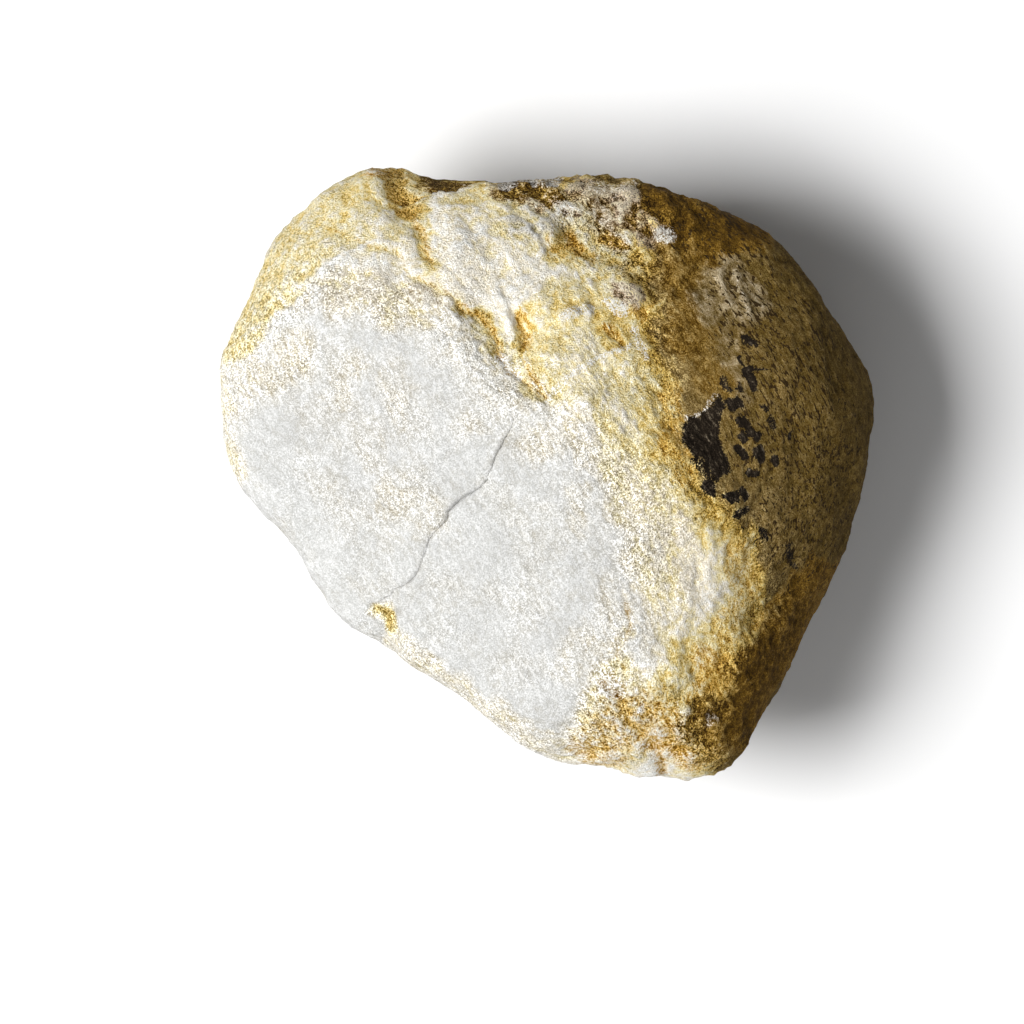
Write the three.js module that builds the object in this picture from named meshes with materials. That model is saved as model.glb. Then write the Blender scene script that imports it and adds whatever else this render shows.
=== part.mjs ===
// A geode nodule that has not been cut open: one solid stone about 119 mm long and 72 mm thick.
// It lies on the small flat spot of its rounded back, with its broad pale face turned up.
// Millimetres, +Z up. The origin is on the surface it lies on, under the middle of the stone.

import * as THREE from "three";
import { ImprovedNoise } from "three/addons/math/ImprovedNoise.js";
import { mergeVertices } from "three/addons/utils/BufferGeometryUtils.js";

// ---------------------------------------------------------------- driving dimensions

// The widest line round the stone, as x, y and height: it is high under the pale face's
// lower left edge, where the back undercuts it, and low on the rounded right side.
const RIM = [
  [60.3, 15.5, 33], [50.5, 31, 35], [40.6, 43.4, 37], [32.2, 46.8, 38],
  [20, 50.6, 40], [8.9, 53.7, 41], [0, 53.4, 42], [-10, 53.7, 43],
  [-22.3, 54.9, 44], [-27, 57.3, 45], [-34.2, 57.6, 46], [-43.5, 49.8, 47],
  [-50.6, 42.5, 47], [-53.3, 34.2, 48], [-55.6, 27.5, 48], [-60.2, 19.1, 48],
  [-59.9, 9.1, 48], [-57.9, -0.5, 48], [-54, -6.1, 49], [-48.4, -10.8, 49],
  [-42.2, -20.5, 50], [-37.5, -27.2, 50], [-30.1, -31.8, 50], [-24.5, -35.9, 49],
  [-16.1, -40.8, 48], [-10, -45.2, 47], [-4.1, -50.8, 46], [3.1, -54.3, 44],
  [12.2, -55.1, 42], [20.5, -57.6, 40], [31.8, -56.6, 37], [37.1, -47.8, 35],
  [42.6, -38.8, 34], [48.2, -27.8, 32], [53.6, -16.9, 31], [57.8, -6, 31],
  [60.3, 5, 31],
];
const RIM_SAMPLES = 720;

// Every ray that shapes the stone starts here.
const CORE = new THREE.Vector3(0, 0, 38);
const RAY_LENGTH = 110;
const RAY_HALVINGS = 26;

// The body between the rim, a crown and a keel. Its section is a superellipse: 2 is round.
const CROWN = { height: 79, power: 2.3 };
const KEEL = { height: -1.6, power: 2.4 };
const BODY_RADIUS = 55;

// Flat faces that the body is broken along: a point on the face, the way it looks (degrees
// round from +X, degrees up from level), and how wide its edges are worn round.
const FACES = {
  pale: { through: [5, 8, 74], looks: [215, 69], worn: 6 },
  upperLobe: { through: [-8, 21, 69.5], looks: [66, 62], worn: 5 },
  topLeftFlank: { through: [-47, 35, 59], looks: [139, 44], worn: 6 },
  topLeftEdge: { through: [-22, 51, 57], looks: [98, 44], worn: 6 },
  topShoulder: { through: [6, 25, 70.5], looks: [86, 62], worn: 8 },
  topFlank: { through: [8, 45, 60], looks: [88, 38], worn: 6 },
  topRightShoulder: { through: [19, 21, 71.5], looks: [48, 66], worn: 10 },
  topRightFlank: { through: [33, 35, 62], looks: [46, 42], worn: 8 },
  rightShoulder: { through: [16, 6, 76], looks: [2, 70], worn: 8 },
  rightFlank: { through: [40, 3, 66.5], looks: [358, 42], worn: 12 },
  lowerRightShoulder: { through: [22, -16, 70], looks: [328, 66], worn: 10 },
  lowerRightFlank: { through: [39, -27, 60], looks: [333, 40], worn: 10 },
  lowerFlank: { through: [12, -47, 59.5], looks: [276, 38], worn: 6 },
  backLeft: { through: [-54, 2, 26], looks: [184, -22], worn: 8 },
  backLowerLeft: { through: [-33, -29, 22], looks: [222, -24], worn: 8 },
  backLower: { through: [0, -46, 20], looks: [264, -28], worn: 10 },
  backLowerRight: { through: [34, -44, 16], looks: [308, -26], worn: 10 },
  backRight: { through: [55, -4, 14], looks: [356, -30], worn: 12 },
  backTopRight: { through: [38, 37, 15], looks: [44, -28], worn: 10 },
  backTop: { through: [-6, 47, 19], looks: [96, -30], worn: 10 },
  backTopLeft: { through: [-44, 35, 20], looks: [142, -28], worn: 8 },
  keelLeft: { through: [-30, -10, 7], looks: [205, -56], worn: 12 },
  keelRight: { through: [30, -18, 5], looks: [328, -60], worn: 12 },
  keelTop: { through: [4, 32, 6], looks: [80, -58], worn: 12 },
};

// The lumps all over it: how far apart they are, how far they stand out, and an offset that
// keeps one size of lump from lining up with the next. They are low on the pale face and
// along the rim.
const LUMPS = [
  { spacing: 27, height: 2.1, offset: 11.3 },
  { spacing: 12, height: 1.05, offset: 47.9 },
  { spacing: 6.5, height: 0.5, offset: 83.1 },
];
const PALE_FACE_LUMPS = { share: 0.3, band: 5 };
const RIM_LUMPS = { share: 0.35, band: 9 };

// Folds and fissures of the upper side, each along a line seen from above.
const GROOVES = {
  topEdgeFissure: {
    path: [[-27, 57], [-25, 50], [-23, 44], [-21, 38.5]], width: 2.6, depth: 2.0,
  },
  longFoldUpper: {
    path: [[-39, 44.5], [-28, 40], [-23, 35], [-15, 30]], width: 2.4, depth: 0.9,
  },
  longFoldLower: {
    path: [[-15, 30], [-9, 23.5], [-5, 17], [0, 13.5]], width: 3.2, depth: 2.1,
  },
  yellowLobeCrevice: {
    path: [[-5, 30], [-3.5, 24], [-3, 18], [-1, 15]], width: 2.2, depth: 1.3,
  },
  topEdgeHollow: { path: [[-21, 53], [-10, 54.5]], width: 2.6, depth: 1.6 },
  healedSeam: { path: [[0, 13.5], [8, 20], [15, 23]], width: 2.4, depth: 0.5 },
  lowerRightLedge: { path: [[46, -19], [43, -23], [38, -27]], width: 2.6, depth: 1.0 },
  chippedNotch: { path: [[-30, -26], [-29, -31]], width: 2.4, depth: 1.5 },
};

// Swellings of the upper side: the middle seen from above, the radius and the height.
const SWELLINGS = {
  upperLobe: { at: [-13, 41], radius: 8, height: 1.4 },
  yellowLobe: { at: [4, 26], radius: 7, height: 1.6 },
  topKnob: { at: [18, 46], radius: 5, height: 1.2 },
  darkLump: { at: [15, 33], radius: 4, height: 0.9 },
  lowerRightKnob: { at: [25, -44], radius: 5, height: 1.4 },
  lowerKnob: { at: [16, -51], radius: 4, height: 0.9 },
  lowerRightCorner: { at: [31, -51], radius: 4.5, height: 1.0 },
};

// Geodesic mesh: 20 x (DETAIL + 1)^2 triangles, drawn closer together on the upper side.
const DETAIL = 17;
const UPPER_SIDE_DENSITY = 1.4;
const TINY = 1e-9;

const STONE = { color: 0xd9cfb4, roughness: 0.85, metalness: 0 };

// ---------------------------------------------------------------- the broken body

// The rim as a list of { angle, radius, height }, in order round the stone.
function sampleRim() {
  const corners = RIM.map((corner) => new THREE.Vector3(...corner));
  const curve = new THREE.CatmullRomCurve3(corners, true, "centripetal");
  return curve
    .getPoints(RIM_SAMPLES)
    .slice(1)
    .map((p) => ({ angle: Math.atan2(p.y, p.x), radius: Math.hypot(p.x, p.y), height: p.z }))
    .sort((a, b) => a.angle - b.angle);
}

const rim = sampleRim();

// The rim's radius and height in the direction of a point, seen from above.
function rimBeside(point) {
  const turn = 2 * Math.PI;
  const angle = Math.atan2(point.y, point.x);
  const next = Math.max(rim.findIndex((sample) => sample.angle > angle), 0);
  const a = rim[(next + rim.length - 1) % rim.length];
  const b = rim[next];
  const share = ((angle - a.angle + turn) % turn) / ((b.angle - a.angle + turn) % turn);
  return {
    radius: THREE.MathUtils.lerp(a.radius, b.radius, share),
    height: THREE.MathUtils.lerp(a.height, b.height, share),
  };
}

// About how far a point lies outside the unbroken body: negative is inside.
function outsideBody(point) {
  const edge = rimBeside(point);
  const end = point.z > edge.height ? CROWN : KEEL;
  const across = Math.hypot(point.x, point.y) / edge.radius;
  const along = (point.z - edge.height) / (end.height - edge.height);
  return BODY_RADIUS * ((across ** end.power + along ** end.power) ** (1 / end.power) - 1);
}

// A face as the plane that it lies in.
function planeOf({ through, looks, worn }) {
  const [round, up] = looks.map(THREE.MathUtils.degToRad);
  const normal = new THREE.Vector3(
    Math.cos(round) * Math.cos(up),
    Math.sin(round) * Math.cos(up),
    Math.sin(up),
  );
  return { normal, offset: normal.dot(new THREE.Vector3(...through)), worn };
}

const planes = Object.values(FACES).map(planeOf);
const palePlane = planeOf(FACES.pale);

function abovePlane(point, plane) {
  return plane.normal.dot(point) - plane.offset;
}

// The larger of two distances, with the corner between them rounded over a width.
function roundedMax(a, b, width) {
  const overlap = Math.max(width - Math.abs(a - b), 0);
  return Math.max(a, b) + (overlap * overlap) / (4 * width);
}

// About how far a point lies outside the broken body.
function outsideStone(point) {
  return planes.reduce(
    (worst, plane) => roundedMax(worst, abovePlane(point, plane), plane.worn),
    outsideBody(point),
  );
}

// The point where a ray from the core leaves the broken body.
function surfaceAlong(direction) {
  let inside = 0;
  let outside = RAY_LENGTH;
  const point = new THREE.Vector3();
  for (let i = 0; i < RAY_HALVINGS; i++) {
    const middle = (inside + outside) / 2;
    point.copy(CORE).addScaledVector(direction, middle);
    if (outsideStone(point) < 0) inside = middle;
    else outside = middle;
  }
  return point;
}

// ---------------------------------------------------------------- lumps, grooves, swellings

const noise = new ImprovedNoise();

// A bump of height 1 that fades out with distance.
function fade(distance, width) {
  return Math.exp(-((distance / width) ** 2));
}

// How far the lumps stand out at a point of the broken body.
function lumpHeight(point) {
  const onPaleFace = fade(abovePlane(point, palePlane), PALE_FACE_LUMPS.band);
  const onRim = fade(point.z - rimBeside(point).height, RIM_LUMPS.band);
  const share =
    THREE.MathUtils.lerp(1, PALE_FACE_LUMPS.share, onPaleFace) *
    THREE.MathUtils.lerp(1, RIM_LUMPS.share, onRim);
  return LUMPS.reduce((sum, { spacing, height, offset }) => {
    const [x, y, z] = point.toArray().map((value) => value / spacing + offset);
    return sum + share * height * noise.noise(x, y, z);
  }, 0);
}

// How far a place seen from above lies from a line through several points.
function distanceToPath(x, y, path) {
  let nearest = Infinity;
  for (let i = 1; i < path.length; i++) {
    const [ax, ay] = path[i - 1];
    const [bx, by] = path[i];
    const [dx, dy] = [bx - ax, by - ay];
    const along = ((x - ax) * dx + (y - ay) * dy) / (dx * dx + dy * dy);
    const t = THREE.MathUtils.clamp(along, 0, 1);
    nearest = Math.min(nearest, Math.hypot(x - ax - t * dx, y - ay - t * dy));
  }
  return nearest;
}

// How far the upper side's own features raise or lower a point. Where grooves meet, the
// deeper one counts.
function featureHeight({ x, y }) {
  const sunk = Object.values(GROOVES).map(
    ({ path, width, depth }) => depth * fade(distanceToPath(x, y, path), width),
  );
  const raised = Object.values(SWELLINGS).map(
    ({ at, radius, height }) => height * fade(Math.hypot(x - at[0], y - at[1]), radius),
  );
  return raised.reduce((sum, height) => sum + height, 0) - Math.max(...sunk);
}

// ---------------------------------------------------------------- mesh

// A direction moved towards +Z, with the pattern of triangles kept in shape.
function gatherUpwards({ x, y, z }) {
  const above = (1 + z) * UPPER_SIDE_DENSITY ** 2;
  const below = 1 - z;
  const up = (above - below) / (above + below);
  const across = Math.sqrt(Math.max(1 - up * up, 0)) / Math.max(Math.hypot(x, y), TINY);
  return new THREE.Vector3(x * across, y * across, up);
}

// The finished surface point along a direction from the core. What would lie below the
// resting surface is cut off flat, which makes the flat spot.
function stonePoint(direction) {
  const point = surfaceAlong(direction);
  const isUpperSide = point.z > rimBeside(point).height;
  const raised = lumpHeight(point) + (isUpperSide ? featureHeight(point) : 0);
  point.addScaledVector(direction, raised);
  if (point.z > 0) return point;
  point.copy(CORE).addScaledVector(direction, -CORE.z / direction.z);
  return point.setZ(0);
}

function stoneGeometry() {
  const ball = new THREE.IcosahedronGeometry(1, DETAIL);
  ball.deleteAttribute("normal");
  ball.deleteAttribute("uv");
  const geometry = mergeVertices(ball);
  const position = geometry.getAttribute("position");
  const direction = new THREE.Vector3();
  for (let i = 0; i < position.count; i++) {
    direction.fromBufferAttribute(position, i).normalize();
    const point = stonePoint(gatherUpwards(direction));
    position.setXYZ(i, point.x, point.y, point.z);
  }
  geometry.computeBoundingBox();
  const middle = geometry.boundingBox.getCenter(new THREE.Vector3());
  geometry.translate(-middle.x, -middle.y, 0);
  geometry.computeVertexNormals();
  return geometry;
}

// ---------------------------------------------------------------- object

const object = new THREE.Group();

const stone = new THREE.Mesh(stoneGeometry(), new THREE.MeshStandardMaterial(STONE));
stone.name = "geode";
object.add(stone);

export default object;
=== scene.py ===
"""The looks of an unopened geode nodule, lying on a pale floor with its chalky face up.

The stone's fine mesh is laid on the CAD solid and then carved: lumps, fibres, folds, cracks and
pits. Stains, and some painted shade among them, are soft fields kept on the mesh's points, which
the material breaks up into grains.
Shapes are worked out in millimetres and turned into metres when the mesh is made. Places on the
upper side are given as seen: x and y in mm of what the camera sees at the height SEEN_HEIGHT.
"""
import itertools
import math

import bmesh
import bpy
import numpy as np
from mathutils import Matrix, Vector
from mathutils.bvhtree import BVHTree


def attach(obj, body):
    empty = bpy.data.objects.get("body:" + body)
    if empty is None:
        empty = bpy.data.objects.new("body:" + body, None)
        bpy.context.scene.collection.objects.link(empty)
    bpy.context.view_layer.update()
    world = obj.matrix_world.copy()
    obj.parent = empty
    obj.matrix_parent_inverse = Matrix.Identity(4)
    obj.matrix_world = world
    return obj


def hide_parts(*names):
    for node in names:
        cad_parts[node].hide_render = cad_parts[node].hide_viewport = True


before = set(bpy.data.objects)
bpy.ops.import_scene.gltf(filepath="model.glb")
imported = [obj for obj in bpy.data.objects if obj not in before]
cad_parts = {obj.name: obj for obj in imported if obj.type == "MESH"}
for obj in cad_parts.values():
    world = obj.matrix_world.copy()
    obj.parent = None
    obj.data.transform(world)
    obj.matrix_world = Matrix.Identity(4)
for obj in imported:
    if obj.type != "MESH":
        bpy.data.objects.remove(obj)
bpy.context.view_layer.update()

MM = 0.001

# ------------------------------------------------------------------ driving values, in mm

CORE = np.array([0.0, 0.0, 38.0])  # the rays that lay the mesh on the CAD solid start here
EDGE_CUTS = 87                     # 20 x (EDGE_CUTS + 1)^2 triangles, and some more at the crack
CRACK_CUTS = (1.6, 0.9)            # how far from the crack edges are cut in two, round by round
UPPER_SIDE_DENSITY = 1.7           # how much closer points lie on the upper side than below
FACET_ROUNDING = 6                 # rounds of smoothing that hide the CAD solid's facets
FOOT_HEIGHT = 0.2                  # what lies lower is the flat spot that the stone rests on
FOOT_FADE = 3.0                    # the relief has its full height from here up

EYE = np.array([-6.36, -7.27, 1542.0])
SEEN_HEIGHT = 42.0
FRAME_WIDTH = 186.18               # what the picture's width spans at SEEN_HEIGHT
SENSOR = 36.0
TURNED_REACH = 16.0                # how far outwards marks are led where the side turns under

FIBRE_ANGLE = math.radians(-62)    # the way the fibres run, seen from above
FIBRE_STRETCH = 3.2

HALO_STRENGTH = 1.12               # the ochre on both sides of the weathered skin's border
HALO_OVER_SKIN = 7.5
HALO_OVER_CHALK = 6.5

NOISE_GAIN = 1.7                   # brings the noise to about -1 to 1
SEED_SHIFT = 3.17                  # sets noises of different seeds apart

FLOOR_HALF_WIDTH = 2000.0
FLOOR_TONE = 0.72
WORLD_LIGHT = 0.20

# ------------------------------------------------------------------ places on the upper side

# The smooth chalky face.
PALE_FACE = [
    (-62, 24), (-50, 27), (-42, 31), (-30, 28), (-20, 20), (-12, 13), (-4, 7), (3, 4), (9, 0),
    (13, -8), (15, -20), (14, -30), (10, -38), (6, -44), (-3, -50), (-20, -48), (-70, -20),
]

# Right of this line the stone keeps its tan-brown weathered skin.
CORTEX = [
    (-30, 62), (-24, 56), (-6, 55), (10, 54), (15, 52), (20, 46), (20, 38), (19, 32), (21, 26),
    (21, 20), (23, 14), (23.5, 8), (25, 2), (30, -4), (38, -10), (39, -16), (40, -22),
    (39, -27), (34, -34), (30, -40), (28, -45), (30, -50), (33, -60), (80, -60), (80, 70),
]

BLACK_PATCH = [
    (25, 8.5), (26, 9.3), (28, 9.8), (29.5, 11.3), (31, 13.5), (31.8, 12), (31, 10),
    (31.2, 6), (31, 4.5), (32.5, 2.5), (33.3, 0.5), (32, 0), (31, -1.5), (30, 0), (29, 1),
    (28.5, 2.5), (27, 3), (26, 4), (25, 5.5),
]

UPPER_LEFT = [
    (-64, 25), (-57, 25), (-50, 29), (-44, 34), (-40, 39), (-34, 42), (-29, 45), (-25, 51),
    (-25, 60), (-40, 62), (-56, 48), (-64, 34),
]

CRACK = [
    (-5, 10.5), (-6, 9.5), (-6.5, 8), (-8, 5.5), (-9.3, 3), (-10, 1.3), (-10.7, -0.5),
    (-11, -1.5), (-12, -2.8), (-14, -4), (-16, -5.2), (-17, -6.3), (-18, -7.2),
    (-18.3, -8.7), (-19.5, -10), (-20.5, -11), (-21.4, -12), (-22.3, -15), (-23, -17),
    (-24, -19), (-25, -20), (-26.5, -20.8), (-28, -21.5), (-28.3, -22.5), (-29.5, -23),
]

FISSURE = [(-27, 55.5), (-25.5, 53), (-25, 50), (-24.5, 47), (-23, 44), (-22, 41), (-21, 38.5)]
LONG_FOLD = [(-39, 44.5), (-32, 41), (-28, 40), (-26, 39), (-25, 36), (-20, 33.5), (-17, 32),
             (-15, 30)]
LONG_FOLD_END = [(-15, 30), (-12, 28), (-10, 25.5), (-9, 23.5), (-8.3, 21), (-7.5, 19),
                 (-5, 17), (-2, 15), (0, 13.5)]
LOBE_CREVICE = [(-5, 29), (-4, 26), (-3.5, 24), (-4, 21), (-3, 18), (-1, 15)]
HEALED_SEAM = [(-1, 12), (4, 17), (8, 20), (12, 22), (15, 23)]
RIB = [(19, 29.5), (21, 30.5), (23, 33), (25, 36.5), (26, 37.5)]
ORANGE_SEAM = [(10, -39), (13, -42), (14, -45), (17, -48), (20, -50), (21, -55)]
TOP_EDGE = [(-22, 50), (-17, 51.5), (-13, 52.6), (-8, 52.6)]
LEDGE = [(45, -19), (43, -23), (40, -25), (38, -28)]
LOWER_RIM = [(-28, -31), (-10, -44), (-3, -49), (5, -51), (15, -53)]

# Sharp grooves and pits: depth, width and path. The ones thinner than FINE keep close to it.
FINE = 0.4
GROOVES = [
    (0.5, 0.36, CRACK[:8]),
    (1.0, 0.34, CRACK[7:16]),
    (0.65, 0.32, CRACK[15:]),
    (0.5, 0.5, FISSURE),
    (0.4, 0.6, LONG_FOLD),
    (0.6, 0.5, LONG_FOLD_END),
    (0.5, 0.9, LOBE_CREVICE),
    (0.4, 0.6, [(-41, 35), (-38, 33.5), (-35, 32), (-33, 31)]),
    (0.5, 0.6, [(-35, 36), (-30, 35.5), (-27, 34)]),
    (0.6, 0.5, [(-19, 26), (-17, 22.5)]),
    (0.5, 0.6, [(-16, 47.5), (-13, 44)]),
    (0.9, 0.9, ORANGE_SEAM),
    (0.5, 0.9, LEDGE),
    (0.4, 0.6, [(3, -46), (5, -49)]),
    (1.2, 1.0, [(4, -51), (8, -52)]),
    (0.2, 0.7, [(6, -12), (7, -20), (9, -27)]),
    (0.2, 0.7, [(10, -20), (12, -30)]),
    (0.25, 0.6, [(0, -28), (2, -33), (4, -37)]),
    (0.2, 0.6, [(-1, -12), (-2, -15)]),
    (0.3, 0.5, [(14.5, -24), (15, -28), (13, -33), (14, -37)]),
    (0.8, 0.5, [(27, -20)]),
    (1.2, 1.0, [(4, 43), (6, 40.5)]),
    (1.3, 1.0, [(11, 42.5), (14, 41)]),
    (1.1, 1.2, [(-7, 51), (-3, 48.5)]),
    (0.8, 1.0, [(19, 45), (25, 42), (29, 41)]),
    (0.7, 0.7, [(10, 26), (14, 23.5)]),
    (0.9, 1.0, [(-31.5, -24.5), (-30, -25.5), (-28.5, -26), (-29.5, -28)]),
    (0.5, 0.5, [(5, 38), (9, 31)]),
    (0.4, 0.5, [(0, 40), (-6, 30)]),
    (0.4, 0.5, [(-10, 47), (-3, 36)]),
]

# Lips, where one side of a line stands above the other: height, how far it reaches, the side
# (1 is left of the line's run) and path.
LIPS = [
    (0.3, 3.0, -1, CRACK),
    (0.4, 3.5, 1, LONG_FOLD),
    (0.35, 2.5, 1, LONG_FOLD_END),
    (0.5, 3.0, 1, LOBE_CREVICE),
    (0.5, 3.0, 1, FISSURE),
    (0.4, 3.0, -1, [(-59, 22), (-54, 26), (-49.7, 28.7), (-42.6, 33.4), (-36, 34.5)]),
    (0.4, 3.0, 1, [(-24, 46), (-27, 42), (-33, 42), (-38, 39)]),
    (-1.2, 6.0, 1, TOP_EDGE),
    (0.4, 2.5, 1, [(24, 37), (20, 31), (18, 27), (22, 24)]),
    (0.5, 3.0, -1, ORANGE_SEAM),
]

# What stands out, or is sunk where the height is negative: height, half width and path.
RIDGES = [
    (-0.9, 2.2, [(-28, 53), (-25.3, 48.5)]),
    (-0.6, 1.4, [(-5, 28), (-3.8, 24)]),
    (0.55, 0.45, RIB),
    (0.3, 0.6, HEALED_SEAM),
    (0.7, 1.6, [(-18, 28), (-16, 27.5)]),
    (1.0, 1.6, [(20.5, 43.3), (22.5, 42.8)]),
    (0.7, 1.3, [(3, 28), (7, 29)]),
    (0.8, 1.2, [(12, 30), (15, 30)]),
    (0.9, 1.5, [(14, 33), (16, 32)]),
    (0.8, 1.4, [(25, -43)]),
    (0.7, 1.4, [(17, -43)]),
    (0.6, 0.5, [(34, 36), (35, 33), (37, 28)]),
    (0.7, 1.6, [(8, 50), (15, 51)]),
    (0.4, 0.6, [(7, 35), (10, 31)]),
    (0.4, 0.6, [(31, 37), (33, 30)]),
]

# How broken the surface is: share, radius and path.
ROUGH = [
    (1.0, 8, [(0, 47), (12, 46), (22, 44)]),
    (0.7, 8, [(14, -47), (22, -46), (32, -50)]),
    (0.3, 9, [(-54, 32), (-42, 42), (-32, 50)]),
    (0.35, 8, [(-18, 44), (-6, 38)]),
    (0.22, 7, [(2, 27), (12, 22)]),
    (0.35, 5, [(-14, 27), (-8, 21), (-3, 16)]),
    (0.45, 6, [(22, 38), (34, 38)]),
    (0.4, 5, [(42, -24), (36, -34)]),
    (0.3, 8, [(14, 14), (22, 6), (24, -6)]),
]
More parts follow.
